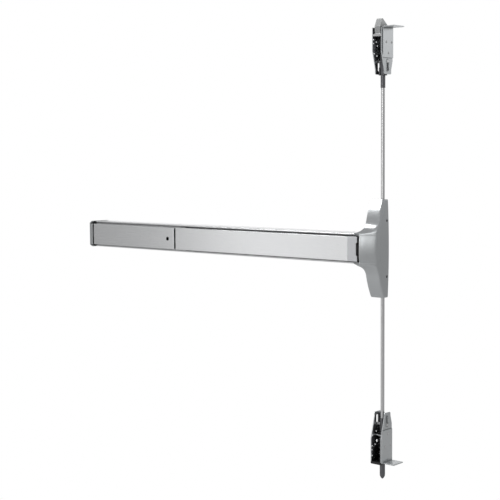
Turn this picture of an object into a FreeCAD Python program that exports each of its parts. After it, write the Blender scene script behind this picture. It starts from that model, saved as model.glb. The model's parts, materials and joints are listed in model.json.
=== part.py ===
import FreeCAD, Part
import math
import os
from FreeCAD import Vector

os.makedirs("parts", exist_ok=True)

# Concealed vertical rod exit device, right-hand case.  Millimetres.
# X runs along the push bar towards the centre case, Y points into the door, Z is up.
# Origin: on the rods' centre line in X, on the door face in Y, at the bar's mid height in Z.

# ---- travel and mechanism -------------------------------------------------------------
PUSH_TRAVEL = 14.0
LINK_TRAVEL = 11.7
ROD_TRAVEL = 16.0
RUNNING = 0.05
SLOT_SLACK = 0.4
CRANK_X = (-480.0, -120.0)
CRANK_Y = -22.0
CRANK_OUT = 10.0
CRANK_IN = CRANK_OUT * PUSH_TRAVEL / LINK_TRAVEL
CRANK_HALF_ANGLE = math.degrees(math.atan(LINK_TRAVEL / 2 / CRANK_OUT))
LINK_Y = CRANK_Y + CRANK_OUT
LEVER_X = 15.5
LEVER_Z = 14.0
LEVER_HALF_ANGLE = math.degrees(math.atan(ROD_TRAVEL / 2 / LEVER_X))
LEVER_IN = LEVER_X * LINK_TRAVEL / ROD_TRAVEL
ROD_Y = 22.0
ROD_R = 3.97

# ---- rail, cover and push bar ---------------------------------------------------------
RAIL_LEFT = -824.2
RAIL_RIGHT = -12.0
RAIL_HALF = 31.5
RAIL_FRONT = -41.2
RAIL_WALL = 2.2
WEB = 2.5
LIP = 2.0
LIP_EDGE = 27.8
RAIL_ROUND = 2.6
BAR_FRONT = -56.2
BAR_SKIN = 1.8
BAR_HALF = 25.6
BAR_LEFT = -530.4
BAR_SEAM = -33.0
BAR_RIGHT = -9.3
COVER_HALF = 25.3
COVER_LEFT = -815.6
COVER_RIGHT = -535.8
DOG_X = -557.0
DOG_Z = -1.0
CAP_LEFT = -832.3

# ---- centre case ----------------------------------------------------------------------
CASE_LEFT = -3.6
CASE_RIGHT = 30.7
CASE_BULGE = 2.5
CASE_HALF = 101.3
CASE_WALL = 2.4
CASE_ROUND = 4.0
CASE_CORNER = 2.2
NECK_LEFT = -30.5
MOUTH_X = -5.3
MOUTH_HALF = 26.9
CHASSIS = 3.0
WINDOW_HALF_X = 3.6
WINDOW_HALF_Z = 27.0

# ---- latches --------------------------------------------------------------------------
LATCH_RIGHT = 11.7
TOP_LEFT = -12.0
LOW_LEFT = -15.0
SHEET = 1.8
PLATE = 2.2
LATCH_FRONT = 0.5
LATCH_BACK = 39.5
TAB_Z = 454.0
TAB_END = 41.0
BOLT_PIVOT_Y = 8.0
BOLT_PIVOT_Z = 438.0
BOLT_ARM = ROD_Y - BOLT_PIVOT_Y
BOLT_HALF_ANGLE = math.degrees(math.atan(ROD_TRAVEL / 2 / BOLT_ARM))
BOLT_HALF_X = 7.0
BOLT_PIN_R = 2.5
TOP_PIN_Z = 383.3
LOW_PIN_Z = -374.4
LOW_BOLT_R = 6.0
LOW_TIP_R = 5.6

AXES = {"X": Vector(1, 0, 0), "Y": Vector(0, 1, 0), "Z": Vector(0, 0, 1)}


# ---- helpers --------------------------------------------------------------------------
def box(x0, x1, y0, y1, z0, z1):
    return Part.makeBox(x1 - x0, y1 - y0, z1 - z0, Vector(x0, y0, z0))


def rod(axis, radius, start, end, a, b):
    """Cylinder along a row axis from start to end; a and b are the other two coordinates."""
    base = {"X": Vector(start, a, b), "Y": Vector(a, start, b), "Z": Vector(a, b, start)}[axis]
    return Part.makeCylinder(radius, end - start, base, AXES[axis])


def ring(axis, outer, inner, start, end, a, b):
    return rod(axis, outer, start, end, a, b).cut(rod(axis, inner, start, end, a, b))


def place(axis, u, v, w):
    """Point with u, v in the plane across the axis and w along it."""
    return {"X": Vector(w, u, v), "Y": Vector(u, w, v), "Z": Vector(u, v, w)}[axis]


def prism(axis, points, start, end):
    """Straight-sided outline pushed along a row axis."""
    loop = [place(axis, u, v, start) for u, v in points]
    face = Part.Face(Part.makePolygon(loop + loop[:1]))
    return face.extrude(AXES[axis] * (end - start))


def edge_prism(axis, segments, start, end):
    """Outline of lines (2 points), arcs (3 points) and splines (more) pushed along an axis."""
    edges = []
    for seg in segments:
        pts = [place(axis, u, v, start) for u, v in seg]
        if len(pts) == 2:
            edges.append(Part.LineSegment(pts[0], pts[1]).toShape())
        elif len(pts) == 3:
            edges.append(Part.Arc(pts[0], pts[1], pts[2]).toShape())
        else:
            curve = Part.BSplineCurve()
            curve.interpolate(pts)
            edges.append(curve.toShape())
    face = Part.Face(Part.Wire(edges))
    return face.extrude(AXES[axis] * (end - start))


def capsule(axis, radius, p, q, start, end):
    """Round-ended bar between plane points p and q, start to end along the axis."""
    length = math.hypot(q[0] - p[0], q[1] - p[1])
    nu = -(q[1] - p[1]) / length * radius
    nv = (q[0] - p[0]) / length * radius
    corners = [(p[0] + nu, p[1] + nv), (p[0] - nu, p[1] - nv)]
    corners += [(q[0] - nu, q[1] - nv), (q[0] + nu, q[1] + nv)]
    bar = prism(axis, corners, start, end)
    ends = [rod(axis, radius, start, end, *c) for c in (p, q)]
    return fuse([bar] + ends)


def fuse(shapes):
    whole = shapes[0]
    for piece in shapes[1:]:
        whole = whole.fuse(piece)
    return whole.removeSplitter()


def cut(shape, tools):
    for tool in tools:
        shape = shape.cut(tool)
    return shape.removeSplitter()


def polar(centre, radius, degrees):
    a = math.radians(degrees)
    return (centre[0] + radius * math.cos(a), centre[1] + radius * math.sin(a))


def mirror_z(shape):
    return shape.mirror(Vector(0, 0, 0), Vector(0, 0, 1))


def fillet(shape, radius, chosen):
    edges = [e for e in shape.Edges if chosen(e)]
    return shape.makeFillet(radius, edges)


def along(edge, axis):
    a = edge.Vertexes[0].Point
    b = edge.Vertexes[-1].Point
    d = b.sub(a)
    return d.Length > 1e-6 and abs(abs(d.dot(AXES[axis])) - d.Length) < 1e-6


def coil(axis, mean_r, wire_r, start, end, turns, a, b):
    """Helical spring along an axis."""
    height = end - start
    helix = Part.makeHelix(height / turns, height, mean_r)
    profile = Part.Wire(Part.makeCircle(wire_r, Vector(mean_r, 0, 0), Vector(0, 1, 0)))
    spring = Part.Wire(helix).makePipeShell([profile], True, True)
    if axis == "X":
        spring.rotate(Vector(0, 0, 0), Vector(0, 1, 0), 90)
        spring.translate(Vector(start, a, b))
    else:
        spring.translate(Vector(a, b, start))
    return spring


def export(name, shape):
    if not shape.isValid():
        print("not valid:", name)
    shape.exportStep(os.path.join("parts", name + ".step"))


# ---- rail -----------------------------------------------------------------------------
END_SCREW_X = -790.0
END_SCREW_Z = 14.0
END_SCREW_R = 2.6
CRANK_FOOT_X = 12.0
CRANK_FOOT_Z = 16.0
SMALL_SCREW_R = 2.0
TONGUE_LEFT = -56.0
TONGUE_SCREW_X = (-46.0, -26.0)
TONGUE_SCREW_Z = 15.0
DOG_FOOT_X = (DOG_X - 24.0, DOG_X - 10.0)
DOG_FOOT_Z = 12.0
SPRING_SEAT_X = -330.0
SPRING_FOOT_X = -338.0
SPRING_FOOT_Z = 15.0


def foot_screws():
    """Centres of the small screws that hold the inside brackets to the rail's web."""
    spots = []
    for x in CRANK_X:
        for dx in (-CRANK_FOOT_X, CRANK_FOOT_X):
            spots += [(x + dx, -CRANK_FOOT_Z), (x + dx, CRANK_FOOT_Z)]
    for x in TONGUE_SCREW_X:
        spots += [(x, -TONGUE_SCREW_Z), (x, TONGUE_SCREW_Z)]
    for x in DOG_FOOT_X:
        spots += [(x, -DOG_FOOT_Z), (x, DOG_FOOT_Z)]
    spots += [(SPRING_FOOT_X, -SPRING_FOOT_Z), (SPRING_FOOT_X, SPRING_FOOT_Z)]
    return spots


def rail():
    inner = RAIL_HALF - RAIL_WALL
    half = [(0, 0), (0, RAIL_HALF), (RAIL_FRONT, RAIL_HALF), (RAIL_FRONT, LIP_EDGE)]
    half += [(RAIL_FRONT + LIP, LIP_EDGE), (RAIL_FRONT + LIP, inner), (-WEB, inner), (-WEB, 0)]
    upper = prism("X", half, RAIL_LEFT, RAIL_RIGHT)
    body = fuse([upper, mirror_z(upper)])

    def lip_edge(e, y, z):
        c = e.CenterOfMass
        return along(e, "X") and abs(c.y - y) < 0.01 and abs(abs(c.z) - z) < 0.01

    body = fillet(body, RAIL_ROUND, lambda e: lip_edge(e, RAIL_FRONT, RAIL_HALF))
    body = fillet(body, RAIL_ROUND - LIP + 0.2, lambda e: lip_edge(e, RAIL_FRONT + LIP, inner))
    body = fillet(body, 0.7, lambda e: lip_edge(e, RAIL_FRONT, LIP_EDGE))
    holes = [rod("Y", SMALL_SCREW_R, -WEB, 0, x, z) for x, z in foot_screws()]
    holes += [rod("Y", END_SCREW_R, -WEB, 0, END_SCREW_X, s * END_SCREW_Z) for s in (-1, 1)]
    return cut(body, holes)


def rail_screws():
    """Low-head screws through the inside brackets' feet into the rail's web."""
    top = {x: -WEB - 2.0 for x, z in foot_screws()}
    for x in TONGUE_SCREW_X:
        top[x] = -WEB - CHASSIS
    solids = []
    for x, z in foot_screws():
        shank = rod("Y", SMALL_SCREW_R, top[x], 0, x, z)
        head = rod("Y", 3.4, top[x] - 1.6, top[x], x, z)
        slot = box(x - 3.4, x + 3.4, top[x] - 1.6, top[x] - 0.9, z - 0.4, z + 0.4)
        solids.append(cut(fuse([shank, head]), [slot]))
    return Part.makeCompound(solids)


# ---- left end -------------------------------------------------------------------------
CAP_PLATE = -828.6
CAP_RIGHT = -819.2
CAP_HALF = 31.9
CAP_SHOULDER_Y = -44.5
CAP_FRONT = -56.6
CAP_BEVEL_X = 5.6
CAP_BEVEL_Y = 2.0
CAP_RIM = 2.2
CAP_BREAK = 1.2
CAP_SCREW_Y = -24.0
CAP_SCREW_Z = 15.0
SKIRT_Y = -38.0
FLANGE_X = -808.0


def end_cap():
    """Cast plate that closes the rail, with a rim in line with the cover and two screw bosses."""
    shoulder = [(CAP_SHOULDER_Y, CAP_HALF), (-49.0, 31.3), (-51.5, 29.6)]
    nose = [(-55.6, 26.0), (-56.35, 24.4), (CAP_FRONT, 22.4)]
    upper = [[(0, CAP_HALF), shoulder[0]], shoulder, [shoulder[-1], nose[0]], nose]
    lower = [[(y, -z) for y, z in reversed(seg)] for seg in reversed(upper)]
    front = [[nose[-1], lower[0][0]]]
    outline = [[(0, -CAP_HALF), (0, CAP_HALF)]] + upper + front + lower
    body = edge_prism("X", outline, CAP_LEFT, CAP_PLATE)
    rim = edge_prism("X", outline, CAP_PLATE, CAP_RIGHT)
    rim = rim.common(box(CAP_PLATE, CAP_RIGHT, -60, RAIL_FRONT - 2.0, -COVER_HALF, COVER_HALF))
    half = COVER_HALF - CAP_RIM
    rim = cut(rim, [box(CAP_PLATE, CAP_RIGHT, CAP_FRONT + CAP_RIM, RAIL_FRONT, -half, half)])
    skirt = box(CAP_PLATE, RAIL_LEFT, SKIRT_Y, 0, RAIL_HALF - RAIL_WALL, CAP_HALF)

    body = fuse([body, rim, skirt, mirror_z(skirt)])
    bosses = [rod("X", 6.0, CAP_PLATE, FLANGE_X, CAP_SCREW_Y, s * CAP_SCREW_Z) for s in (-1, 1)]
    body = fuse([body] + bosses)
    past = 0.2
    outer = (CAP_LEFT - past * CAP_BEVEL_X, CAP_FRONT + (1 + past) * CAP_BEVEL_Y)
    inner = (CAP_LEFT + (1 + past) * CAP_BEVEL_X, CAP_FRONT - past * CAP_BEVEL_Y)
    wedge = [outer, (outer[0], inner[1]), inner]
    edge = [(CAP_LEFT, CAP_HALF - CAP_BREAK), (CAP_LEFT, CAP_HALF), (CAP_LEFT + CAP_BREAK, CAP_HALF)]
    top_edge = prism("Y", edge, CAP_FRONT, 0)
    tools = [prism("Z", wedge, -CAP_HALF - 1, CAP_HALF + 1), top_edge, mirror_z(top_edge)]
    for s in (-1, 1):
        tools.append(rod("X", 2.4, CAP_LEFT, FLANGE_X, CAP_SCREW_Y, s * CAP_SCREW_Z))
        tools.append(rod("X", 4.6, CAP_LEFT, CAP_LEFT + 3.2, CAP_SCREW_Y, s * CAP_SCREW_Z))
    return cut(body, tools)


def end_cap_screws():
    solids = []
    for s in (-1, 1):
        head = rod("X", 4.4, CAP_LEFT + 0.5, CAP_LEFT + 3.2, CAP_SCREW_Y, s * CAP_SCREW_Z)
        shank = rod("X", 2.4, CAP_LEFT + 3.2, FLANGE_X + 5.0, CAP_SCREW_Y, s * CAP_SCREW_Z)
        y, z, x = CAP_SCREW_Y, s * CAP_SCREW_Z, CAP_LEFT + 0.5
        cross = [box(x, x + 1.6, y - 2.6, y + 2.6, z - 0.5, z + 0.5)]
        cross.append(box(x, x + 1.6, y - 0.5, y + 0.5, z - 2.6, z + 2.6))
        solids.append(cut(fuse([head, shank]), cross))
    return Part.makeCompound(solids)


def rail_end_bracket():
    """Angle bracket on the rail's web that takes the end cap screws and the door screws."""
    base = box(FLANGE_X, -768, -WEB - PLATE, -WEB, -23, 23)
    flange = box(FLANGE_X, FLANGE_X + PLATE, -34, -WEB, -23, 23)
    body = fillet(fuse([base, flange]), 3.0, lambda e: along(e, "X") and e.CenterOfMass.y < -30)
    tools = [rod("Y", END_SCREW_R, -10, 0, END_SCREW_X, s * END_SCREW_Z) for s in (-1, 1)]
    tools += [rod("X", 2.4, FLANGE_X, FLANGE_X + PLATE, CAP_SCREW_Y, s * CAP_SCREW_Z) for s in (-1, 1)]
    return cut(body, tools)


def c_section(x0, x1, half, front, back, hook_y, hook_z):
    """Thin channel open towards the door, with its back edges hooked outwards."""
    t = BAR_SKIN
    upper = [(front, 0), (front, half), (hook_y, half), (hook_y, hook_z), (back, hook_z)]
    upper += [(back, half - t), (front + t, half - t), (front + t, 0)]
    top = prism("X", upper, x0, x1)
    body = fuse([top, mirror_z(top)])

    def front_corner(e):
        c = e.CenterOfMass
        return along(e, "X") and abs(c.y - front) < 0.01 and abs(abs(c.z) - half) < 0.01

    return fillet(body, 1.5, front_corner)


COVER_FRONT = -56.0


FINGER_RIGHT = -508.0
FINGER_Z = (25.9, 27.3)
FINGER_Y = (-45.5, RAIL_FRONT - 0.3)


def filler_cover():
    """Fixed cover over the left third of the rail; its shoulders run on as fingers beside the bar."""
    body = c_section(COVER_LEFT, COVER_RIGHT, COVER_HALF, COVER_FRONT, -37.4, -39.0, 29.0)

    def right_rim(e):
        c = e.BoundBox
        at_end = abs(c.XMin - COVER_RIGHT) < 0.01 and abs(c.XMax - COVER_RIGHT) < 0.01
        return at_end and along(e, "Z") and abs(e.CenterOfMass.y - COVER_FRONT) < 0.01

    body = fillet(body, 1.6, right_rim)
    y0, y1 = FINGER_Y
    shoulder = box(COVER_LEFT, COVER_RIGHT, y0, y1, COVER_HALF - 0.5, FINGER_Z[1])
    finger = box(COVER_RIGHT, FINGER_RIGHT, y0, y1, FINGER_Z[0], FINGER_Z[1])
    side = fuse([shoulder, finger])
    body = fuse([body, side, mirror_z(side)])
    return cut(body, [rod("Y", 4.6, COVER_FRONT, COVER_FRONT + BAR_SKIN, DOG_X, DOG_Z)])


# ---- dogging --------------------------------------------------------------------------
DOG_PLATE_Y = (-49.6, -47.6)
DOG_R = 3.9
DOG_HOOK_Y = (-41.5, -38.6)
DOG_ARM = 20.0
DOG_SHELF_Y = (-34.0, -32.0)
HEX_FLATS = 4.0


def dog_bracket():
    """Two-shelf bracket that carries the dogging screw behind the hole in the cover."""
    left, right = DOG_X - 32.0, DOG_X + 10.0
    low, high = DOG_Z - 18.0, DOG_Z + 18.0
    front = box(left, right, DOG_PLATE_Y[0], DOG_PLATE_Y[1], low, high)
    shelf = box(left, right, DOG_SHELF_Y[0], DOG_SHELF_Y[1], low, high)
    leg = box(left, left + 2.0, DOG_PLATE_Y[0], -WEB, low, high)
    foot = box(left, DOG_X - 4.0, -WEB - 2.0, -WEB, -20, 20)
    tools = [rod("Y", DOG_R + RUNNING, -60, -20, DOG_X, DOG_Z)]
    tools += [rod("Y", SMALL_SCREW_R, -10, 0, x, s * DOG_FOOT_Z) for x in DOG_FOOT_X for s in (-1, 1)]
    return cut(fuse([front, shelf, leg, foot]), tools)


def dog_screw():
    """Hex-socket screw turned a quarter turn to hold the bar in."""
    front = DOG_PLATE_Y[0] + 0.2
    shank = rod("Y", DOG_R, front, -29.0, DOG_X, DOG_Z)
    flange = rod("Y", 6.5, DOG_PLATE_Y[1] + 0.2, DOG_PLATE_Y[1] + 2.0, DOG_X, DOG_Z)
    radius = HEX_FLATS / 2 / math.cos(math.radians(30))
    corners = [polar((DOG_X, DOG_Z), radius, 60 * k) for k in range(6)]
    socket = prism("Y", corners, front, front + 6.0)
    groove = ring("Y", DOG_R, 3.3, -30.8, -29.8, DOG_X, DOG_Z)
    return cut(fuse([shank, flange]), [socket, groove])


def dog_clip():
    clip = ring("Y", 6.2, 3.3, -30.8, -29.8, DOG_X, DOG_Z)
    return cut(clip, [box(DOG_X - 1.6, DOG_X + 1.6, -31, -29, DOG_Z - 7, DOG_Z)])


def dog_hook():
    """Hook on the dogging screw; it stands up when free and points at the bar when set."""
    y0, y1 = DOG_HOOK_Y
    arm = capsule("Y", 4.5, (DOG_X, DOG_Z), (DOG_X, DOG_Z + DOG_ARM - 4.5), y0, y1)
    hub = rod("Y", 7.0, y0, y1, DOG_X, DOG_Z)
    return cut(fuse([arm, hub]), [rod("Y", DOG_R, y0, y1, DOG_X, DOG_Z)])


# ---- push bar -------------------------------------------------------------------------
CATCH_LEFT = DOG_X + 12.0
CATCH_Z = (DOG_Z - 6.0, DOG_Z + 6.0)
CATCH_Y = (-52.2, -49.8)
EAR_Z = (-6.0, -3.0)
DRIVE_PIN_R = 2.2


def push_bar():
    """Pressed channel the hand pushes; its hooked edges stop behind the rail's lips."""
    return c_section(BAR_LEFT, BAR_SEAM, BAR_HALF, BAR_FRONT, -37.3, -38.9, 28.9)


def push_bar_catch():
    """Tongue that reaches under the cover for the dogging hook to hold."""
    tongue = box(CATCH_LEFT, -505, CATCH_Y[0], CATCH_Y[1], CATCH_Z[0], CATCH_Z[1])
    pad = box(-525, -505, BAR_FRONT + BAR_SKIN, CATCH_Y[0], CATCH_Z[0], CATCH_Z[1])
    return fuse([tongue, pad])


def push_bar_left_plug():
    """Thin closing plug in the bar's left end, notched for the catch."""
    half = BAR_HALF - BAR_SKIN
    plug = box(BAR_LEFT, BAR_LEFT + 4.0, BAR_FRONT + BAR_SKIN, -40.0, -half, half)
    notch = box(BAR_LEFT, BAR_LEFT + 4.0, BAR_FRONT, CATCH_Y[1] + 0.4, CATCH_Z[0] - 0.4, CATCH_Z[1] + 0.4)
    return cut(plug, [notch])


def push_bar_end_cap():
    """Moulded end piece of the bar; its free edge has a shallow notch."""
    t, half = BAR_SKIN, BAR_HALF
    outer = box(BAR_SEAM, BAR_RIGHT, BAR_FRONT, -40.0, -half, half)

    def rounded(e):
        c = e.CenterOfMass
        return along(e, "X") and abs(c.y - BAR_FRONT) < 0.01

    outer = fillet(outer, 1.5, rounded)
    inner = box(BAR_SEAM, BAR_RIGHT - t, BAR_FRONT + t + 0.4, -40.0, -half + t, half - t)
    spigot = box(BAR_SEAM - 14, BAR_SEAM, BAR_FRONT + t, -44.0, -half + t + 0.1, half - t - 0.1)
    hollow = box(BAR_SEAM - 14, BAR_SEAM, BAR_FRONT + 2 * t, -44.0, -half + 2 * t, half - 2 * t)
    notch = box(BAR_RIGHT - 2.8, BAR_RIGHT, BAR_FRONT, -46.0, -13.0, 13.0)
    shell = cut(outer, [inner, notch])
    lip = box(BAR_RIGHT - 2.8 - t, BAR_RIGHT - 2.8, BAR_FRONT + t, -46.0, -13.0 - t, 13.0 + t)
    return fuse([shell, lip, cut(spigot, [hollow])])


def bar_bracket(x):
    """Bracket inside the bar with the ear that carries the drive pin of one bell crank."""
    pin_x = x + CRANK_IN
    pin_y = CRANK_Y - PUSH_TRAVEL / 2
    inside = BAR_FRONT + BAR_SKIN
    half = BAR_HALF - BAR_SKIN
    base = box(pin_x - 20, pin_x + 26, inside, inside + 2.0, -half + 0.2, half - 0.2)
    sides = [box(pin_x - 20, pin_x + 26, inside, -44, z, z + 2.0) for z in (-half + 0.2, half - 2.2)]
    outline = [(pin_x - 5, inside + 2), (pin_x - 5, pin_y), (pin_x + 5, pin_y), (pin_x + 18, inside + 2)]
    ear = prism("Z", outline, EAR_Z[0], EAR_Z[1])
    eye = rod("Z", 5.0, EAR_Z[0], EAR_Z[1], pin_x, pin_y)
    hole = rod("Z", DRIVE_PIN_R, EAR_Z[0], EAR_Z[1], pin_x, pin_y)
    return cut(fuse([base, ear, eye] + sides), [hole])


def bar_drive_pins():
    pins = []
    for x in CRANK_X:
        spot = (x + CRANK_IN, CRANK_Y - PUSH_TRAVEL / 2)
        shank = rod("Z", DRIVE_PIN_R, EAR_Z[0], 2.6, *spot)
        head = rod("Z", 3.6, EAR_Z[0] - 1.4, EAR_Z[0], *spot)
        pins.append(fuse([shank, head]))
    return Part.makeCompound(pins)


# ---- bell cranks ----------------------------------------------------------------------
CRANK_PLATE = 2.0
CRANK_PIN_R = 3.0
HUB_R = 5.4
EAR_GAP = 8.0


def slotted_arm(axis, centre, degrees, reach, spread, pin_r, wall, start, end):
    """Arm from a pivot with a radial slot for a pin that rides between reach and spread."""
    r = pin_r + SLOT_SLACK
    tip = polar(centre, spread + 0.3, degrees)
    arm = capsule(axis, r + wall, centre, tip, start, end)
    slot = capsule(axis, r, polar(centre, reach - 0.3, degrees), tip, start, end)
    return arm, slot


def bell_crank(x):
    """Two slotted arms at a right angle on a hub that turns about the vertical pivot pin."""
    c = (x, CRANK_Y)
    a = CRANK_HALF_ANGLE
    z0, z1 = -CRANK_PLATE, CRANK_PLATE
    far_in = CRANK_IN / math.cos(math.radians(a))
    far_out = CRANK_OUT / math.cos(math.radians(a))
    arm_in, slot_in = slotted_arm("Z", c, -a, CRANK_IN, far_in, DRIVE_PIN_R, 2.1, z0, z1)
    arm_out, slot_out = slotted_arm("Z", c, 90 - a, CRANK_OUT, far_out, DRIVE_PIN_R, 2.1, z0, z1)
    hub = rod("Z", HUB_R, -EAR_GAP + 0.3, EAR_GAP - 0.3, *c)
    bore = rod("Z", CRANK_PIN_R + RUNNING, -EAR_GAP, EAR_GAP, *c)
    return cut(fuse([arm_in, arm_out, hub]), [slot_in, slot_out, bore])


def crank_bracket(x):
    """Fixed bracket with two ears that hold a bell crank's pivot pin."""
    half = 16.5
    base = box(x - half, x + half, -WEB - 2.0, -WEB, -20, 20)
    ears = []
    for z in (-EAR_GAP - 2.0, EAR_GAP):
        ear = box(x - 8, x + 8, CRANK_Y, -WEB, z, z + 2.0)
        ears.append(fuse([ear, rod("Z", 8.0, z, z + 2.0, x, CRANK_Y)]))
    tools = [rod("Z", CRANK_PIN_R, -12, 12, x, CRANK_Y)]
    for dx in (-CRANK_FOOT_X, CRANK_FOOT_X):
        tools += [rod("Y", SMALL_SCREW_R, -10, 0, x + dx, s * CRANK_FOOT_Z) for s in (-1, 1)]
    return cut(fuse([base] + ears), tools)


def crank_pivot_pins():
    pins = []
    for x in CRANK_X:
        shank = rod("Z", CRANK_PIN_R, -EAR_GAP - 3.2, EAR_GAP + 2.0, x, CRANK_Y)
        head = rod("Z", 4.6, EAR_GAP + 2.0, EAR_GAP + 3.6, x, CRANK_Y)
        foot = rod("Z", 3.8, -EAR_GAP - 3.2, -EAR_GAP - 2.0, x, CRANK_Y)
        pins.append(fuse([shank, head, foot]))
    return Part.makeCompound(pins)


# ---- pull link and yoke ---------------------------------------------------------------
LINK_Z = (2.6, 5.6)
LINK_HALF = 4.0
LINK_LEFT = CRANK_X[0] - 8.0
LINK_RIGHT = -24.0
SEAT_TAB_X = -290.0
SPRING_Z = -6.5
YOKE_Y = (-19.5, -16.5)
YOKE_RIVET_X = (-52.0, -34.0)
YOKE_TOP = 8.2
YOKE_PIN_X = LEVER_X + LINK_TRAVEL / 2
YOKE_PIN_Z = LEVER_Z + LEVER_IN
YOKE_PIN_R = 2.0
LEVER_Y = (-14.0, -10.0)


def pull_link():
    """Flat bar along the rail that ties both cranks to the centre case."""
    y0, y1 = LINK_Y - LINK_HALF, LINK_Y + LINK_HALF
    bar = box(LINK_LEFT, LINK_RIGHT, y0, y1, LINK_Z[0], LINK_Z[1])
    tab = box(SEAT_TAB_X, SEAT_TAB_X + 2.5, y0, y1, -13.0, LINK_Z[1])
    guide = rod("X", 2.4, SPRING_SEAT_X - 12.0, SEAT_TAB_X, LINK_Y, SPRING_Z)
    holes = [rod("Z", DRIVE_PIN_R, 0, 8, x + LINK_TRAVEL / 2, LINK_Y) for x in CRANK_X]
    holes += [rod("Z", 2.0, 0, 8, x, LINK_Y) for x in YOKE_RIVET_X]
    return cut(fuse([bar, tab, guide]), holes)


def link_pins():
    pins = []
    for x in CRANK_X:
        spot = (x + LINK_TRAVEL / 2, LINK_Y)
        shank = rod("Z", DRIVE_PIN_R, -2.5, LINK_Z[1], *spot)
        head = rod("Z", 3.6, LINK_Z[1], LINK_Z[1] + 1.3, *spot)
        pins.append(fuse([shank, head]))
    return Part.makeCompound(pins)


def yoke():
    """T-shaped plate riveted to the link; its cross bar drives both lift levers."""
    foot = box(-60, LINK_RIGHT, YOKE_Y[0], LINK_Y + LINK_HALF, LINK_Z[1], YOKE_TOP)
    stem = box(-60, YOKE_PIN_X + 4, YOKE_Y[0], YOKE_Y[1], -6.0, YOKE_TOP)
    bar = box(YOKE_PIN_X - 4, YOKE_PIN_X + 4, YOKE_Y[0], YOKE_Y[1], -YOKE_PIN_Z, YOKE_PIN_Z)
    ends = [rod("Y", 4.0, YOKE_Y[0], YOKE_Y[1], YOKE_PIN_X, s * YOKE_PIN_Z) for s in (-1, 1)]
    holes = [rod("Z", 2.0, 5, 9, x, LINK_Y) for x in YOKE_RIVET_X]
    holes += [rod("Y", YOKE_PIN_R, -20, -16, YOKE_PIN_X, s * YOKE_PIN_Z) for s in (-1, 1)]
    return cut(fuse([foot, stem, bar] + ends), holes)


def yoke_rivets():
    solids = []
    for x in YOKE_RIVET_X:
        shank = rod("Z", 2.0, LINK_Z[0], YOKE_TOP, x, LINK_Y)
        heads = [rod("Z", 3.4, LINK_Z[0] - 1.2, LINK_Z[0], x, LINK_Y)]
        heads.append(rod("Z", 3.4, YOKE_TOP, YOKE_TOP + 1.2, x, LINK_Y))
        solids.append(fuse([shank] + heads))
    return Part.makeCompound(solids)


def yoke_pins():
    solids = []
    for s in (-1, 1):
        shank = rod("Y", YOKE_PIN_R, YOKE_Y[0], LEVER_Y[1] + 0.4, YOKE_PIN_X, s * YOKE_PIN_Z)
        head = rod("Y", 3.2, YOKE_Y[0] - 1.2, YOKE_Y[0], YOKE_PIN_X, s * YOKE_PIN_Z)
        solids.append(fuse([shank, head]))
    return Part.makeCompound(solids)


def spring_seat():
    """Fixed abutment of the return spring."""
    wall = box(SPRING_SEAT_X - 2.5, SPRING_SEAT_X, -20, -WEB, -14, 1.6)
    foot = box(SPRING_FOOT_X - 6, SPRING_SEAT_X, -WEB - 2.0, -WEB, -19, 19)
    tools = [rod("X", 2.7, SPRING_SEAT_X - 3, SPRING_SEAT_X, LINK_Y, SPRING_Z)]
    tools += [rod("Y", SMALL_SCREW_R, -10, 0, SPRING_FOOT_X, s * SPRING_FOOT_Z) for s in (-1, 1)]
    return cut(fuse([wall, foot]), tools)


def return_spring():
    return coil("X", 4.6, 0.7, SPRING_SEAT_X + 0.8, SEAT_TAB_X - 0.8, 9, LINK_Y, SPRING_Z)


# ---- centre case ----------------------------------------------------------------------
CASE_REACH = 103.0
BELL = ((0.0, 33.4), (27.0, 33.0), (49.0, 31.8), (62.4, 29.8), (71.6, 26.9), (81.6, 22.9),
        (91.4, 18.0), (98.8, 14.3), (101.3, 11.8), (CASE_REACH, 8.8))
FLARE = ((30.0, 72.0), (32.2, 60.0), (33.4, 54.5), (35.8, 47.4), (38.2, 43.2), (41.2, 39.8),
         (49.0, 34.6), (60.0, 30.4), (80.0, 24.0), (110.0, 10.0))
CASE_ROWS = (0.0, 9.0, 17.0, 23.0, 27.0, 29.5, 31.0, 32.0, 32.8, 33.5, 34.2, 35.0, 36.0, 37.2, 38.8, 41.0,
             43.5, 46.5, 50.0, 54.5, 60.0, 66.0, 71.6, 76.6, 81.6, 86.5, 91.4, 95.3, 98.8, 101.3, CASE_REACH)
CASE_COLUMNS = (0.0, 0.15, 0.6, 1.3, 2.2, 3.1, 4.0, 4.8, 5.6, 6.5, 7.5, 8.7, 10.5, 14.0, 19.0, 25.0, 31.0,
                34.0, 35.6, 37.2, 40.0, 45.0, 52.0, 62.0)


def curve_at(points, u):
    """Value at u of a smooth curve through (u, value) points, level beyond both ends."""
    if u <= points[0][0]:
        return points[0][1]
    if u >= points[-1][0]:
        return points[-1][1]
    steps = [(b[1] - a[1]) / (b[0] - a[0]) for a, b in zip(points, points[1:])]
    k = max(i for i in range(len(steps)) if points[i][0] <= u)
    width = points[k + 1][0] - points[k][0]
    start = (steps[max(k - 1, 0)] + steps[k]) / 2 * width
    end = (steps[k] + steps[min(k + 1, len(steps) - 1)]) / 2 * width
    f = (u - points[k][0]) / width
    bend = points[k][1] * (2 * f**3 - 3 * f**2 + 1) + points[k + 1][1] * (3 * f**2 - 2 * f**3)
    return bend + start * (f**3 - 2 * f**2 + f) + end * (f**3 - f**2)


def smaller(a, b, soft):
    """The smaller of two values, with the change-over softened."""
    return (a + b - math.hypot(a - b, soft)) / 2


def larger(a, b, soft):
    return (a + b + math.hypot(a - b, soft)) / 2


def right_side(z):
    """X of the slightly bulged right side at a height."""
    return CASE_RIGHT - CASE_BULGE * (z / CASE_HALF) ** 2


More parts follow.
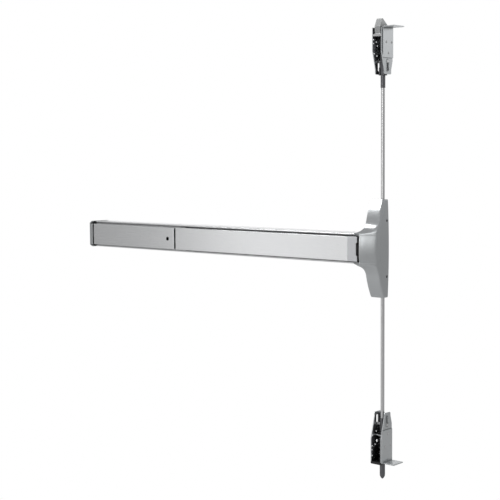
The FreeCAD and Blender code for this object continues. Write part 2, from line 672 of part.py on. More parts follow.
# the two ears rise from the left edge to the mouth, then the front falls away to the right
EAR_DEPTH = 41.4
EAR_RISE = 0.563
MOUTH_DEPTH = 55.6
MOUTH_FALL = 0.484
SHOULDER_DEPTH = 39.8
SHOULDER_X = 27.4
SHOULDER_FALL = 3.4
CROWN = 1.4


def front_depth(x, z, t):
    """How far the case's front stands off the door at a point, t inside the outer surface."""
    body = curve_at(BELL, abs(z)) - t
    ears = EAR_DEPTH + (x - NECK_LEFT) * EAR_RISE
    slope = MOUTH_DEPTH - (x - MOUTH_X) * MOUTH_FALL
    shoulder = SHOULDER_DEPTH - (x - SHOULDER_X) * SHOULDER_FALL
    crown = CROWN * (min(abs(z), MOUTH_HALF) / MOUTH_HALF) ** 2
    plan = smaller(smaller(ears, slope, 0.8) - crown, shoulder, 2.0) - 1.15 * t
    flare = curve_at(FLARE, abs(z) + 0.75 * t) - 0.75 * t
    return larger(body, smaller(plan, flare, 4.5), 1.4)


def case_form(t):
    """Smooth front of the case down to the door face, rounded over along its right side."""
    heights = [-z for z in reversed(CASE_ROWS[1:])] + list(CASE_ROWS)
    rounding = CASE_ROUND - t
    grid = []
    for inset in CASE_COLUMNS:
        away = max(rounding - inset, 0.0)
        drop = rounding - math.sqrt(rounding**2 - away**2)
        column = []
        for z in heights:
            x = right_side(z) - t - inset
            column.append(Vector(x, drop - front_depth(x, z, t), z))
        grid.append(column)
    surface = Part.BSplineSurface()
    surface.approximate(Points=grid, DegMin=3, DegMax=3, Continuity=2, Tolerance=0.05, ParamType="Uniform")
    depth = surface.toShape().extrude(Vector(0, 100, 0))
    return depth.common(box(-60, 60, -80, 0, -CASE_REACH - 1, CASE_REACH + 1))


def case_outline(t):
    """Front view of the case pushed through it, t inside its left, top and bottom sides."""
    edge, top, r = CASE_LEFT + t, CASE_HALF - t, CASE_CORNER
    right = right_side(top - r) - t
    c = r * (1 - math.sqrt(0.5))
    sweep = [(NECK_LEFT, 31.5 - t), (-22.0, 32.4 - t), (-14.0, 34.4 - t), (-8.0, 38.0 - t)]
    sweep += [(-4.4 + t, 44.6 - t), (edge, 52.0)]
    upper = [sweep, [(edge, 52.0), (edge, top - r)], [(edge, top - r), (edge + c, top - c), (edge + r, top)]]
    upper += [[(edge + r, top), (right - r, top)], [(right - r, top), (right - c, top - c), (right, top - r)]]
    upper += [[(right, top - r), (60, top - r)]]
    lower = [[(x, -z) for x, z in reversed(seg)] for seg in reversed(upper)]
    ends = [[(60, top - r), (60, r - top)], [(NECK_LEFT, t - 31.5), (NECK_LEFT, 31.5 - t)]]
    return edge_prism("Y", upper + [ends[0]] + lower + [ends[1]], -80, 1)


COVER_SCREW_Z = 57.5
COVER_SCREW_Y = -6.0


def case_cover():
    """Cast cover: narrow bell-shaped body with a neck whose mouth takes the bar's end."""
    cover = case_form(0.0).common(case_outline(0.0))
    hollow = case_form(CASE_WALL).common(case_outline(CASE_WALL))
    mouth = box(-60, MOUTH_X, -80, 1, -MOUTH_HALF, MOUTH_HALF)
    rail_room = box(-60, -11.4, RAIL_FRONT - 0.15, 1, -80, 80)
    ear_gap = box(-60, -3.0, RAIL_FRONT - 6, 1, -MOUTH_HALF, MOUTH_HALF)
    holes = [rod("X", 2.7, 20, 40, COVER_SCREW_Y, s * COVER_SCREW_Z) for s in (-1, 1)]
    for tool in [hollow, mouth, rail_room, ear_gap] + holes:
        cover = cover.cut(tool)
    return cover


def case_screws():
    """Small screws through the case's side into the chassis."""
    solids = []
    for s in (-1, 1):
        head = rod("X", 2.6, 26.0, 28.6, COVER_SCREW_Y, s * COVER_SCREW_Z)
        shank = rod("X", 1.5, 21.0, 26.0, COVER_SCREW_Y, s * COVER_SCREW_Z)
        slot = box(27.8, 28.6, COVER_SCREW_Y - 2.6, COVER_SCREW_Y + 2.6,
                   s * COVER_SCREW_Z - 0.4, s * COVER_SCREW_Z + 0.4)
        solids.append(cut(fuse([head, shank]), [slot]))
    return Part.makeCompound(solids)


DOOR_SCREW_Z = 85.0
DOOR_SCREW_X = 12.2
DOOR_SCREW_R = 2.75
GUIDE_SCREW_X = 4.4
GUIDE_SCREW_Z = 45.0
LEVER_PIN_R = 3.0
LEVER_HUB_R = 5.8
STUD_R = 2.5


def centre_chassis():
    """Mechanism plate on the door face, with a tongue into the rail and two side tabs."""
    narrow = box(0.4, 25.4, -CHASSIS, 0, -97.5, 97.5)
    wide = box(RAIL_RIGHT + 0.5, 25.4, -CHASSIS, 0, -28.5, 28.5)
    step = box(RAIL_RIGHT + 0.5, RAIL_RIGHT + 4.0, -WEB - CHASSIS, 0, -28.5, 28.5)
    tongue = box(TONGUE_LEFT, RAIL_RIGHT + 4.0, -WEB - CHASSIS, -WEB, -24, 24)
    tabs = [box(22.4, 25.4, -12, 0, s * COVER_SCREW_Z - 7, s * COVER_SCREW_Z + 7) for s in (-1, 1)]
    body = fuse([narrow, wide, step, tongue] + tabs)
    tools = [box(-WINDOW_HALF_X, WINDOW_HALF_X, -4, 0, -WINDOW_HALF_Z, WINDOW_HALF_Z)]
    for s in (-1, 1):
        tools.append(rod("Y", DOOR_SCREW_R, -4, 0, DOOR_SCREW_X, s * DOOR_SCREW_Z))
        tools.append(rod("X", 1.5, 20, 27, COVER_SCREW_Y, s * COVER_SCREW_Z))
        tools.append(rod("Y", SMALL_SCREW_R, -4, 0, GUIDE_SCREW_X, s * GUIDE_SCREW_Z))
        tools.append(rod("Y", LEVER_PIN_R, -4, 0, LEVER_X, s * LEVER_Z))
        tools += [rod("Y", SMALL_SCREW_R, -8, 0, x, s * TONGUE_SCREW_Z) for x in TONGUE_SCREW_X]
    return cut(body, tools)


def lift_lever():
    """Upper lift lever: the input arm stands up, the output arm reaches to the rod's stud."""
    c = (LEVER_X, LEVER_Z)
    a = LEVER_HALF_ANGLE
    far_in = LEVER_IN / math.cos(math.radians(a))
    far_out = LEVER_X / math.cos(math.radians(a))
    y0, y1 = LEVER_Y
    arm_in, slot_in = slotted_arm("Y", c, 90 - a, LEVER_IN, far_in, YOKE_PIN_R, 2.0, y0, y1)
    arm_out, slot_out = slotted_arm("Y", c, 180 - a, LEVER_X, far_out, STUD_R, 2.3, y0, y1)
    hub = rod("Y", LEVER_HUB_R, y0, -CHASSIS - 0.3, *c)
    bore = rod("Y", LEVER_PIN_R + RUNNING, -16, -2, *c)
    return cut(fuse([arm_in, arm_out, hub]), [slot_in, slot_out, bore])


def lever_pivot_pins():
    pins = []
    for s in (-1, 1):
        shank = rod("Y", LEVER_PIN_R, -15.9, 0, LEVER_X, s * LEVER_Z)
        groove = ring("Y", LEVER_PIN_R, 2.4, -15.3, -14.3, LEVER_X, s * LEVER_Z)
        pins.append(cut(shank, [groove]))
    return Part.makeCompound(pins)


def lever_clips():
    clips = []
    for s in (-1, 1):
        clip = ring("Y", 5.2, 2.4, -15.3, -14.3, LEVER_X, s * LEVER_Z)
        gap = box(LEVER_X, LEVER_X + 6, -16, -14, s * LEVER_Z - 1.4, s * LEVER_Z + 1.4)
        clips.append(cut(clip, [gap]))
    return Part.makeCompound(clips)


# ---- rods and what lifts them ---------------------------------------------------------
STUD_Z = LEVER_Z + ROD_TRAVEL / 2
BLOCK_HALF = 6.6
BLOCK_Y = (ROD_Y - 7.5, ROD_Y + 6.0)
GUIDE_DEPTH = 25.0
BLOCK_Z = (STUD_Z - 5.5, 52.0)
ROD_FOOT = 34.0
GUIDE_END = 60.0
GUIDE_WALL = 2.0
GUIDE_TAB = 2.5
UPPER_ROD_END = 346.0
LOWER_ROD_END = -371.0


def lift_block():
    block = box(-BLOCK_HALF, BLOCK_HALF, BLOCK_Y[0], BLOCK_Y[1], BLOCK_Z[0], BLOCK_Z[1])
    block = fillet(block, 1.2, lambda e: along(e, "Z"))
    tools = [rod("Y", STUD_R, BLOCK_Y[0], BLOCK_Y[1], 0, STUD_Z)]
    tools.append(rod("Z", ROD_R, ROD_FOOT, BLOCK_Z[1], 0, ROD_Y))
    return cut(block, tools)


def lift_stud():
    shank = rod("Y", STUD_R, LEVER_Y[0] - 0.4, BLOCK_Y[1], 0, STUD_Z)
    collar = rod("Y", 3.3, 3.0, BLOCK_Y[0], 0, STUD_Z)
    return fuse([shank, collar])


def hex_nut(z0, z1):
    corners = [polar((0, ROD_Y), 13.0 / 2 / math.cos(math.radians(30)), 60 * k + 30) for k in range(6)]
    return cut(prism("Z", corners, z0, z1), [rod("Z", ROD_R, z0, z1, 0, ROD_Y)])


def lift_guide():
    """Channel behind the chassis, inside the door, that keeps the lift blocks in line."""
    inner, t, end = BLOCK_HALF + 0.4, GUIDE_WALL, GUIDE_END
    web = box(-inner - t, inner + t, 0, t, -end, end)
    walls = [box(x, x + t, 0, GUIDE_DEPTH, -end, end) for x in (-inner - t, inner)]
    half_foot = [(inner + t, 0), (inner + t, ROD_Y), (ROD_R + t, BLOCK_Y[1])]
    foot = half_foot + [(-x, y) for x, y in reversed(half_foot)]
    tabs = [prism("Z", foot, z, z + GUIDE_TAB) for z in (-end - GUIDE_TAB, end)]
    body = fuse([web] + walls + tabs)
    tools = [box(-WINDOW_HALF_X, WINDOW_HALF_X, 0, t, -WINDOW_HALF_Z, WINDOW_HALF_Z)]
    tools.append(rod("Z", ROD_R + 0.08, -end - 3, end + 3, 0, ROD_Y))
    tools += [rod("Y", SMALL_SCREW_R, 0, t, GUIDE_SCREW_X, s * GUIDE_SCREW_Z) for s in (-1, 1)]
    return cut(body, tools)


def guide_screws():
    solids = []
    for s in (-1, 1):
        shank = rod("Y", SMALL_SCREW_R, -CHASSIS, 3.6, GUIDE_SCREW_X, s * GUIDE_SCREW_Z)
        head = rod("Y", 3.4, -CHASSIS - 1.6, -CHASSIS, GUIDE_SCREW_X, s * GUIDE_SCREW_Z)
        slot = box(GUIDE_SCREW_X - 3.4, GUIDE_SCREW_X + 3.4, -CHASSIS - 1.6, -CHASSIS - 0.9,
                   s * GUIDE_SCREW_Z - 0.4, s * GUIDE_SCREW_Z + 0.4)
        solids.append(cut(fuse([shank, head]), [slot]))
    return Part.makeCompound(solids)


# ---- top latch ------------------------------------------------------------------------
TOP_CASE_TOP = 451.5
TOP_CASE_LOW = 357.0
TOP_TAPER_Z = 404.0
TOP_NECK_Z = 366.0
TOP_NECK_Y = (10.6, 34.6)
TOP_BACK_LOW = 384.0
PIN_R = 3.1
SLOT_R = 3.4
SLOT_RIM = 1.3
SLOT_RIM_HEIGHT = 0.6
BRACKET_RIVETS_TOP = ((14.0, 422.0), (33.5, 422.0), (22.0, 400.0))
TOP_SPACERS = ((34.5, 412.0), (34.5, 396.0))
TOP_HOLES = ((3.4, 427.3), (3.4, 419.4), (13.0, 423.3), (17.0, 415.6), (5.4, 399.2), (15.2, 395.1))


def wall_outline(front, back, full, other_full, neck_y, taper, neck, end):
    """Side wall of a latch: full depth, then tapering to a round-cornered neck."""
    r = 3.0
    s = 1 if end > full else -1
    points = [[(back, full), (front, full)], [(front, full), (front, taper)]]
    points += [[(front, taper), (neck_y[0], neck)], [(neck_y[0], neck), (neck_y[0], end - s * r)]]
    c = r * (1 - math.sqrt(0.5))
    points += [[(neck_y[0], end - s * r), (neck_y[0] + c, end - s * c), (neck_y[0] + r, end)]]
    points += [[(neck_y[0] + r, end), (neck_y[1] - r, end)]]
    points += [[(neck_y[1] - r, end), (neck_y[1] - c, end - s * c), (neck_y[1], end - s * r)]]
    points += [[(neck_y[1], end - s * r), (neck_y[1], neck)], [(neck_y[1], neck), (back, other_full)]]
    points += [[(back, other_full), (back, full)]]
    return points


def back_wall(left, neck_y, full_end, full, neck, end):
    """Back of a latch case, following the side walls' taper down to the neck."""
    t = SHEET
    outline = [(LATCH_BACK, full_end), (LATCH_BACK, full), (neck_y[1], neck), (neck_y[1], end)]
    outline += [(neck_y[1] - t, end), (neck_y[1] - t, neck), (LATCH_BACK - t, full), (LATCH_BACK - t, full_end)]
    return prism("X", outline, left, LATCH_RIGHT)


def slot_rim(high, low):
    """Pressed rim round the slot in a latch's right wall."""
    out = LATCH_RIGHT + SLOT_RIM_HEIGHT
    return capsule("X", SLOT_R + SLOT_RIM, (ROD_Y, high), (ROD_Y, low), LATCH_RIGHT - SHEET, out)


def top_latch_case():
    """Folded sheet case, open towards the room side, slotted for the cross pin."""
    outline = wall_outline(LATCH_FRONT, LATCH_BACK, TOP_CASE_TOP, TOP_BACK_LOW, TOP_NECK_Y, TOP_TAPER_Z,
                           TOP_NECK_Z, TOP_CASE_LOW)
    walls = [edge_prism("X", outline, x, x + SHEET) for x in (TOP_LEFT, LATCH_RIGHT - SHEET)]
    back = back_wall(TOP_LEFT, TOP_NECK_Y, TOP_CASE_TOP, TOP_BACK_LOW, TOP_NECK_Z, TOP_CASE_LOW + 4.0)
    high = TOP_PIN_Z + 0.4
    low = TOP_PIN_Z - ROD_TRAVEL - 0.4
    body = fuse(walls + [back, slot_rim(high, low)])
    slot = capsule("X", SLOT_R, (ROD_Y, high), (ROD_Y, low), -20, 20)
    tools = [slot]
    tools += [rod("X", 2.0, LATCH_RIGHT - SHEET, LATCH_RIGHT, y, z) for y, z in BRACKET_RIVETS_TOP]
    tools += [rod("X", 1.6, -20, 20, y, z) for y, z in TOP_SPACERS]
    tools += [rod("X", 1.9, TOP_LEFT, TOP_LEFT + SHEET, y, z) for y, z in TOP_HOLES]
    tools.append(rod("X", BOLT_PIN_R, -20, 20, BOLT_PIVOT_Y, BOLT_PIVOT_Z))
    tools.append(top_stop_bar())
    return cut(body, tools)


TAB_HOLE_X = 22.8
TAB_HOLE_Y = (13.0, 31.0)
TAB_HOLE_R = 2.4


def latch_bracket(front, tab_front, back, low, rivets):
    """L-shaped plate on the latch's right side with a tab along the door's edge channel."""
    plate = box(LATCH_RIGHT, LATCH_RIGHT + PLATE, front, back, low, TAB_Z)
    tab = box(LATCH_RIGHT, TAB_END, tab_front, back, TAB_Z - PLATE, TAB_Z)
    body = fuse([plate, tab])

    def bend(e):
        c = e.CenterOfMass
        return along(e, "Y") and abs(c.z - TAB_Z) < 0.01 and abs(c.x - LATCH_RIGHT) < 0.01

    body = fillet(body, 2.0, bend)
    tools = [rod("Z", TAB_HOLE_R, 440, 460, TAB_HOLE_X, y) for y in TAB_HOLE_Y]
    tools += [rod("X", 2.0, LATCH_RIGHT, LATCH_RIGHT + PLATE, y, z) for y, z in rivets]
    return cut(body, tools)


def bracket_rivets(rivets):
    solids = []
    for y, z in rivets:
        shank = rod("X", 2.0, LATCH_RIGHT - SHEET, LATCH_RIGHT + PLATE, y, z)
        head = Part.makeSphere(3.0, Vector(LATCH_RIGHT + PLATE - 1.6, y, z))
        head = head.common(box(LATCH_RIGHT + PLATE, 30, y - 5, y + 5, z - 5, z + 5))
        solids.append(fuse([shank, head]))
    return Part.makeCompound(solids)


def latch_spacers(left, spots):
    """Spacer rivets across a latch case."""
    solids = []
    for y, z in spots:
        pin = rod("X", 1.6, left - 0.8, LATCH_RIGHT, y, z)
        sleeve = rod("X", 2.4, left + SHEET, LATCH_RIGHT - SHEET, y, z)
        solids.append(fuse([pin, sleeve]))
    return Part.makeCompound(solids)


def top_stop_bar():
    """Flat bar across the front of the case that the bolt's foot rests behind."""
    return box(TOP_LEFT, LATCH_RIGHT, 0.8, 2.4, BOLT_PIVOT_Z - 3.8, BOLT_PIVOT_Z + 0.2)


def top_bolt_pin():
    shank = rod("X", BOLT_PIN_R, TOP_LEFT, LATCH_RIGHT, BOLT_PIVOT_Y, BOLT_PIVOT_Z)
    head = rod("X", 3.8, TOP_LEFT - 1.0, TOP_LEFT, BOLT_PIVOT_Y, BOLT_PIVOT_Z)
    return fuse([shank, head])


TOP_DRIVE_R = 2.2
TONGUE_HALF_X = 3.9
TONGUE_HALF_Y = 4.0
TONGUE_TOP = BOLT_PIVOT_Z + ROD_TRAVEL / 2


def top_bolt():
    """Swinging bolt: wedge nose above, clevis tail that the lift bar's pin turns."""
    c = (BOLT_PIVOT_Y, BOLT_PIVOT_Z)
    a = BOLT_HALF_ANGLE
    far = BOLT_ARM / math.cos(math.radians(a))
    w = BOLT_HALF_X
    outline = [[(3.4, 437.0), (1.8, 453.6)], [(1.8, 453.6), (8.6, 468.2)]]
    outline += [[(8.6, 468.2), (9.8, 469.8), (11.8, 469.8)], [(11.8, 469.8), (27.4, 457.6)]]
    outline += [[(27.4, 457.6), (28.2, 456.0), (27.8, 454.2)], [(27.8, 454.2), (26.0, 446.0)]]
    outline += [[(26.0, 446.0), (12.0, 434.8)], [(12.0, 434.8), (7.6, 433.0), (3.4, 437.0)]]
    nose = edge_prism("X", outline, -w, w)
    arm, slot = slotted_arm("X", c, a, BOLT_ARM, far, TOP_DRIVE_R, 2.6, -w, w)
    hub = rod("X", 4.8, TOP_LEFT + SHEET + 0.4, LATCH_RIGHT - SHEET - 0.4, *c)
    body = fuse([nose, arm, hub])
    g = TONGUE_HALF_X + 0.4
    clear = TONGUE_HALF_Y + 0.6
    pin = polar(c, far, a)
    near = polar(c, BOLT_ARM, a)
    sweep = (math.cos(math.radians(90 - 2 * a)), -math.sin(math.radians(90 - 2 * a)))
    across = (-sweep[1], sweep[0])
    fan = [(pin[0] - clear, pin[1]), (pin[0] - clear, pin[1] - 40)]
    fan += [(pin[0] + 40, pin[1] - 40)]
    fan += [(pin[0] + 40 * sweep[0] + across[0] * clear, pin[1] + 40 * sweep[1] + across[1] * clear)]
    fan += [(pin[0] + across[0] * clear, pin[1] + across[1] * clear)]
    groove = fuse([prism("X", fan, -g, g), rod("X", clear, -g, g, *pin), rod("X", clear, -g, g, *near)])
    bore = rod("X", BOLT_PIN_R + RUNNING, -20, 20, *c)
    return cut(body, [slot, groove, bore])


SLEEVE_LOW = 329.5
FORK_LOW = 355.5
FORK_HIGH = 371.0
FORK_PIN_Z = 363.0
FORK_PIN_R = 2.0


def top_connector():
    """Sleeve on the rod's end with a forked head for the lift bar."""
    sleeve = rod("Z", 4.9, SLEEVE_LOW, FORK_LOW + 0.5, 0, ROD_Y)
    sleeve = fillet(sleeve, 0.8, lambda e: abs(e.CenterOfMass.z - SLEEVE_LOW) < 0.01)
    head = box(-6.5, 6.5, ROD_Y - 5.6, ROD_Y + 5.6, FORK_LOW - 0.5, FORK_HIGH)
    tools = [rod("Z", ROD_R, SLEEVE_LOW - 5, UPPER_ROD_END, 0, ROD_Y)]
    tools.append(box(-TONGUE_HALF_X, TONGUE_HALF_X, 0, 40, FORK_LOW, FORK_HIGH))
    tools.append(rod("X", FORK_PIN_R, -8, 8, ROD_Y, FORK_PIN_Z))
    return cut(fuse([sleeve, head]), tools)


def top_connector_pin():
    return rod("X", FORK_PIN_R, -7.0, 7.0, ROD_Y, FORK_PIN_Z)


def top_lift_bar():
    """Flat bar from the connector up to the bolt's tail."""
    x, y = TONGUE_HALF_X, TONGUE_HALF_Y
    bar = box(-x, x, ROD_Y - y, ROD_Y + y, FORK_LOW, TONGUE_TOP)
    bar = fuse([bar, rod("X", y, -x, x, ROD_Y, TONGUE_TOP)])
    tools = [rod("X", FORK_PIN_R, -8, 8, ROD_Y, FORK_PIN_Z), rod("X", PIN_R, -8, 8, ROD_Y, TOP_PIN_Z)]
    tools.append(rod("X", TOP_DRIVE_R, -8, 8, ROD_Y, TONGUE_TOP))
    return cut(bar, tools)


def top_cross_pin():
    return rod("X", PIN_R, TOP_LEFT - 0.6, LATCH_RIGHT + 0.8, ROD_Y, TOP_PIN_Z)


def top_bolt_drive_pin():
    return rod("X", TOP_DRIVE_R, -BOLT_HALF_X + 0.3, BOLT_HALF_X - 0.3, ROD_Y, TONGUE_TOP)


# ---- bottom latch ---------------------------------------------------------------------
LOW_CASE_TOP = -348.5
LOW_CASE_FOOT = -452.0
LOW_TAPER_Z = -402.0
LOW_NECK_Z = -356.0
LOW_NECK_Y = (13.2, 34.6)
LOW_BACK_HIGH = -374.0
LOW_PLATE_TOP = -384.4
BRACKET_RIVETS_LOW = ((23.0, -393.0), (12.0, -419.5), (33.0, -419.5))
LOW_SPACERS = ((34.2, -408.0), (34.2, -442.0))
LOW_HOLES = ((3.4, -420.0, 1.9), (3.4, -428.1, 1.9), (3.4, -440.2, 1.9), (5.4, -397.6, 1.9),
             (18.7, -390.5, 1.9), (21.0, -411.4, 3.0), (14.4, -418.2, 1.9))
SPRING_PLATE_Z = (-398.0, -396.0)
LOW_COLLAR_Z = (-438.0, -435.0)
BUSH_FOOT = -457.6
LOW_BOLT_TIP = -492.0
BULLET = 10.0
LOW_BOLT_STEP = -459.0
LOW_BOLT_TOP = -390.0
STEM_R = 4.0
STEM = 10.0


def bottom_latch_case():
    outline = wall_outline(LATCH_FRONT, LATCH_BACK, LOW_CASE_FOOT, LOW_BACK_HIGH, LOW_NECK_Y, LOW_TAPER_Z,
                           LOW_NECK_Z, LOW_CASE_TOP)
    walls = [edge_prism("X", outline, x, x + SHEET) for x in (LOW_LEFT, LATCH_RIGHT - SHEET)]
    back = back_wall(LOW_LEFT, LOW_NECK_Y, LOW_CASE_FOOT, LOW_BACK_HIGH, LOW_NECK_Z, LOW_CASE_TOP - 4.0)
    plate = box(LOW_LEFT, LATCH_RIGHT, 13.0, LATCH_BACK, SPRING_PLATE_Z[0], SPRING_PLATE_Z[1])
    high = LOW_PIN_Z + ROD_TRAVEL + 0.4
    low = LOW_PIN_Z - 0.4
    body = fuse(walls + [back, plate, slot_rim(high, low)])
    slot = capsule("X", SLOT_R, (ROD_Y, high), (ROD_Y, low), -20, 20)
    tools = [slot, rod("Z", LOW_BOLT_R + 0.4, -400, -390, 0, ROD_Y)]
    tools += [rod("X", 2.0, LATCH_RIGHT - SHEET, LATCH_RIGHT, y, z) for y, z in BRACKET_RIVETS_LOW]
    tools += [rod("X", 1.6, -20, 20, y, z) for y, z in LOW_SPACERS]
    tools += [rod("X", r, LOW_LEFT, LOW_LEFT + SHEET, y, z) for y, z, r in LOW_HOLES]
    return cut(body, tools)


def bottom_guide_bush():
    """Block that closes the case's foot and guides the bolt."""
    block = box(LOW_LEFT, LATCH_RIGHT, LATCH_FRONT, LATCH_BACK, BUSH_FOOT, LOW_CASE_FOOT)
    block = fillet(block, 2.0, lambda e: abs(e.CenterOfMass.z - BUSH_FOOT) < 0.01)
    boss = rod("Z", 9.0, LOW_CASE_FOOT, LOW_CASE_FOOT + 6.0, 0, ROD_Y)
    return cut(fuse([block, boss]), [rod("Z", LOW_BOLT_R + 0.08, -470, -440, 0, ROD_Y)])


def bottom_bolt():
    """Round bolt with a bullet nose, a collar for its spring and a stem for the connector."""
    tip, r = LOW_BOLT_TIP, LOW_TIP_R
    start = tip + BULLET
    away = (BULLET**2 - r**2) / (2 * r)
    half_turn = math.asin(BULLET / (r + away)) / 2
    middle = Vector((r + away) * math.cos(half_turn) - away, 0, start - (r + away) * math.sin(half_turn))
    profile = [Vector(0, 0, tip), middle, Vector(r, 0, start)]
    arc = Part.Arc(profile[0], profile[1], profile[2]).toShape()
    side = Part.makePolygon([profile[2], Vector(0, 0, start), profile[0]])
    bullet = Part.Face(Part.Wire([arc] + side.Edges)).revolve(Vector(0, 0, 0), Vector(0, 0, 1), 360)
    bullet.translate(Vector(0, ROD_Y, 0))
    lower = rod("Z", r, start, LOW_BOLT_STEP, 0, ROD_Y)
    body = rod("Z", LOW_BOLT_R, LOW_BOLT_STEP, LOW_BOLT_TOP, 0, ROD_Y)
    stem = rod("Z", STEM_R, LOW_BOLT_TOP, LOW_BOLT_TOP + STEM, 0, ROD_Y)
    collar = rod("Z", 9.0, LOW_COLLAR_Z[0], LOW_COLLAR_Z[1], 0, ROD_Y)
    return fuse([bullet, lower, body, stem, collar])


def bottom_bolt_spring():
    return coil("Z", 7.6, 0.8, LOW_COLLAR_Z[1] + 0.9, SPRING_PLATE_Z[0] - 0.9, 5, 0, ROD_Y)


def bottom_connector():
    """Sleeve that joins the lower rod to the bolt and carries the cross pin."""
    sleeve = rod("Z", 5.4, -389.0, -362.0, 0, ROD_Y)
    sleeve = fillet(sleeve, 0.6, lambda e: abs(e.CenterOfMass.z + 362.0) < 0.01)
    tools = [rod("Z", ROD_R, LOWER_ROD_END, -360, 0, ROD_Y)]
    tools.append(rod("Z", STEM_R, LOW_BOLT_TOP, LOW_BOLT_TOP + STEM, 0, ROD_Y))
    tools.append(rod("X", PIN_R, -8, 8, ROD_Y, LOW_PIN_Z))
    return cut(sleeve, tools)


def bottom_cross_pin():
    return rod("X", PIN_R, LOW_LEFT - 0.6, LATCH_RIGHT + 0.8, ROD_Y, LOW_PIN_Z)


# ---- write every piece ----------------------------------------------------------------
PIECES = {
    "rail": rail(),
    "end_cap": end_cap(),
    "end_cap_screws": end_cap_screws(),
    "rail_end_bracket": rail_end_bracket(),
    "filler_cover": filler_cover(),
    "dog_bracket": dog_bracket(),
    "dog_screw": dog_screw(),
    "dog_clip": dog_clip(),
    "dog_hook": dog_hook(),
    "push_bar": push_bar(),
    "push_bar_catch": push_bar_catch(),
    "push_bar_left_plug": push_bar_left_plug(),
    "push_bar_end_cap": push_bar_end_cap(),
    "bar_bracket_left": bar_bracket(CRANK_X[0]),
    "bar_bracket_right": bar_bracket(CRANK_X[1]),
    "bar_drive_pins": bar_drive_pins(),
    "bell_crank_left": bell_crank(CRANK_X[0]),
    "bell_crank_right": bell_crank(CRANK_X[1]),
    "crank_bracket_left": crank_bracket(CRANK_X[0]),
    "crank_bracket_right": crank_bracket(CRANK_X[1]),
    "crank_pivot_pins": crank_pivot_pins(),
    "pull_link": pull_link(),
    "yoke": yoke(),
    "yoke_rivets": yoke_rivets(),
    "link_pins": Part.makeCompound([link_pins(), yoke_pins()]),
    "spring_seat": spring_seat(),
    "return_spring": return_spring(),
    "case_cover": case_cover(),
    "case_screws": case_screws(),
    "centre_chassis": centre_chassis(),
    "lift_lever_upper": lift_lever(),
    "lift_lever_lower": mirror_z(lift_lever()),
    "lever_pivot_pins": lever_pivot_pins(),
    "lever_clips": lever_clips(),
    "lift_block_upper": lift_block(),
    "lift_block_lower": mirror_z(lift_block()),
    "lift_stud_upper": lift_stud(),
    "lift_stud_lower": mirror_z(lift_stud()),
    "lift_guide": lift_guide(),
    "bracket_screws": Part.makeCompound([rail_screws(), guide_screws()]),
    "rod_upper": rod("Z", ROD_R, ROD_FOOT, UPPER_ROD_END, 0, ROD_Y),
    "rod_lower": rod("Z", ROD_R, LOWER_ROD_END, -ROD_FOOT, 0, ROD_Y),
    "jam_nut_upper": hex_nut(BLOCK_Z[1], BLOCK_Z[1] + 5.0),
    "jam_nut_lower": mirror_z(hex_nut(BLOCK_Z[1], BLOCK_Z[1] + 5.0)),
    "top_latch_case": top_latch_case(),
    "top_latch_bracket": latch_bracket(3.0, 3.0, 38.5, 390.7, BRACKET_RIVETS_TOP),
    "top_latch_rivets": Part.makeCompound([bracket_rivets(BRACKET_RIVETS_TOP),
                                           latch_spacers(TOP_LEFT, TOP_SPACERS), top_stop_bar()]),
    "top_bolt_pin": top_bolt_pin(),
    "top_bolt": top_bolt(),
    "top_connector": top_connector(),
    "top_lift_bar": top_lift_bar(),
    "top_lift_pins": Part.makeCompound([top_connector_pin(), top_cross_pin(), top_bolt_drive_pin()]),
    "bottom_latch_case": bottom_latch_case(),
    "bottom_latch_bracket": mirror_z(latch_bracket(1.0, 4.0, 38.0, -LOW_PLATE_TOP,
                                                   [(y, -z) for y, z in BRACKET_RIVETS_LOW])),
    "bottom_latch_rivets": Part.makeCompound([bracket_rivets(BRACKET_RIVETS_LOW),
                                              latch_spacers(LOW_LEFT, LOW_SPACERS)]),
    "bottom_bolt": bottom_bolt(),
    "bottom_bolt_spring": bottom_bolt_spring(),
    "bottom_guide_bush": bottom_guide_bush(),
    "bottom_connector": bottom_connector(),
    "bottom_cross_pin": bottom_cross_pin(),
}
for name, shape in PIECES.items():
    export(name, shape)
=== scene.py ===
import json
import math

import bmesh
import bpy
from mathutils import Matrix, Vector


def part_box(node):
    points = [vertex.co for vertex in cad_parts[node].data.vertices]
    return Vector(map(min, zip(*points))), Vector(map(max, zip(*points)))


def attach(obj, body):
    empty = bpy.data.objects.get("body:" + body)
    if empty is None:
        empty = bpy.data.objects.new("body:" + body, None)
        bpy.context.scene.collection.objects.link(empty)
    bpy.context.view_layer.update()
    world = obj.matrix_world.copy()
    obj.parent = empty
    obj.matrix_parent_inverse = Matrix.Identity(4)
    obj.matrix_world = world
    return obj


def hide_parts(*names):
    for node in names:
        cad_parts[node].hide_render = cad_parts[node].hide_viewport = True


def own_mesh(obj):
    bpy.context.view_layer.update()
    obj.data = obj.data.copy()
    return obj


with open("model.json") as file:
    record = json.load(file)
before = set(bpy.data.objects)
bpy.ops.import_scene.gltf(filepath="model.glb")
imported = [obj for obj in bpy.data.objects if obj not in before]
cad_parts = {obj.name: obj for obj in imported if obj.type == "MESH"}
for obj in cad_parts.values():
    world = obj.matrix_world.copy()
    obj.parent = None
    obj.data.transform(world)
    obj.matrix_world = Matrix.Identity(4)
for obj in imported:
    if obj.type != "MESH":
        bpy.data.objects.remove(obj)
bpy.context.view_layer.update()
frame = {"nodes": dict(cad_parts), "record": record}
NODES = frame["nodes"]
SCENE = bpy.context.scene


# ---- camera ---------------------------------------------------------------------------
CAM_AZIMUTH = 41.32
CAM_ELEVATION = 4.65
CAM_ROLL = -0.43
CAM_PLACE = (1.439, -2.034, 0.199)
CAM_LENS = 86.4
SENSOR_WIDTH = 36.0


